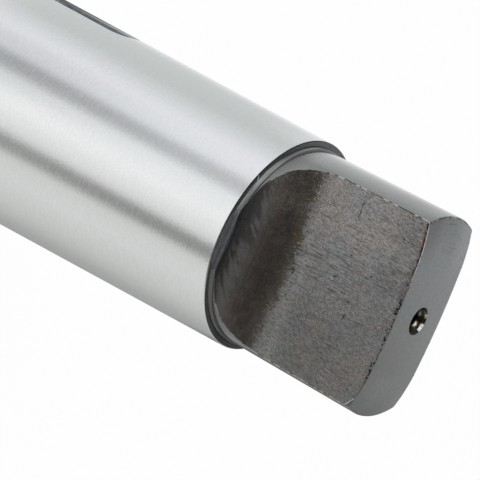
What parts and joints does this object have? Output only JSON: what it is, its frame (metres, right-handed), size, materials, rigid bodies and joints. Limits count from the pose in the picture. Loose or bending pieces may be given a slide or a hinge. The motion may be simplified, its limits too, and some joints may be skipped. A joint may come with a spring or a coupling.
{
  "type": "morse taper sleeve",
  "caption": "Hardened reducing sleeve with a ground taper outside, a smaller tapered socket inside, a drift slot and a black flat-sided driving tang.",
  "frame": {"origin": "centre of the large end's face, which the sleeve stands on", "axes": "+Z along the axis toward the tang, +X along the drift slot and the tang's width, +Y square to the tang's flats"},
  "size_m": [0.0446, 0.0446, 0.156],
  "materials": {
    "steel": "fine ground taper, black oxide on the neck, shoulder and tang"
  },
  "bodies": {
    "root": {"taper_sleeve": "steel"}
  },
  "joints": []
}
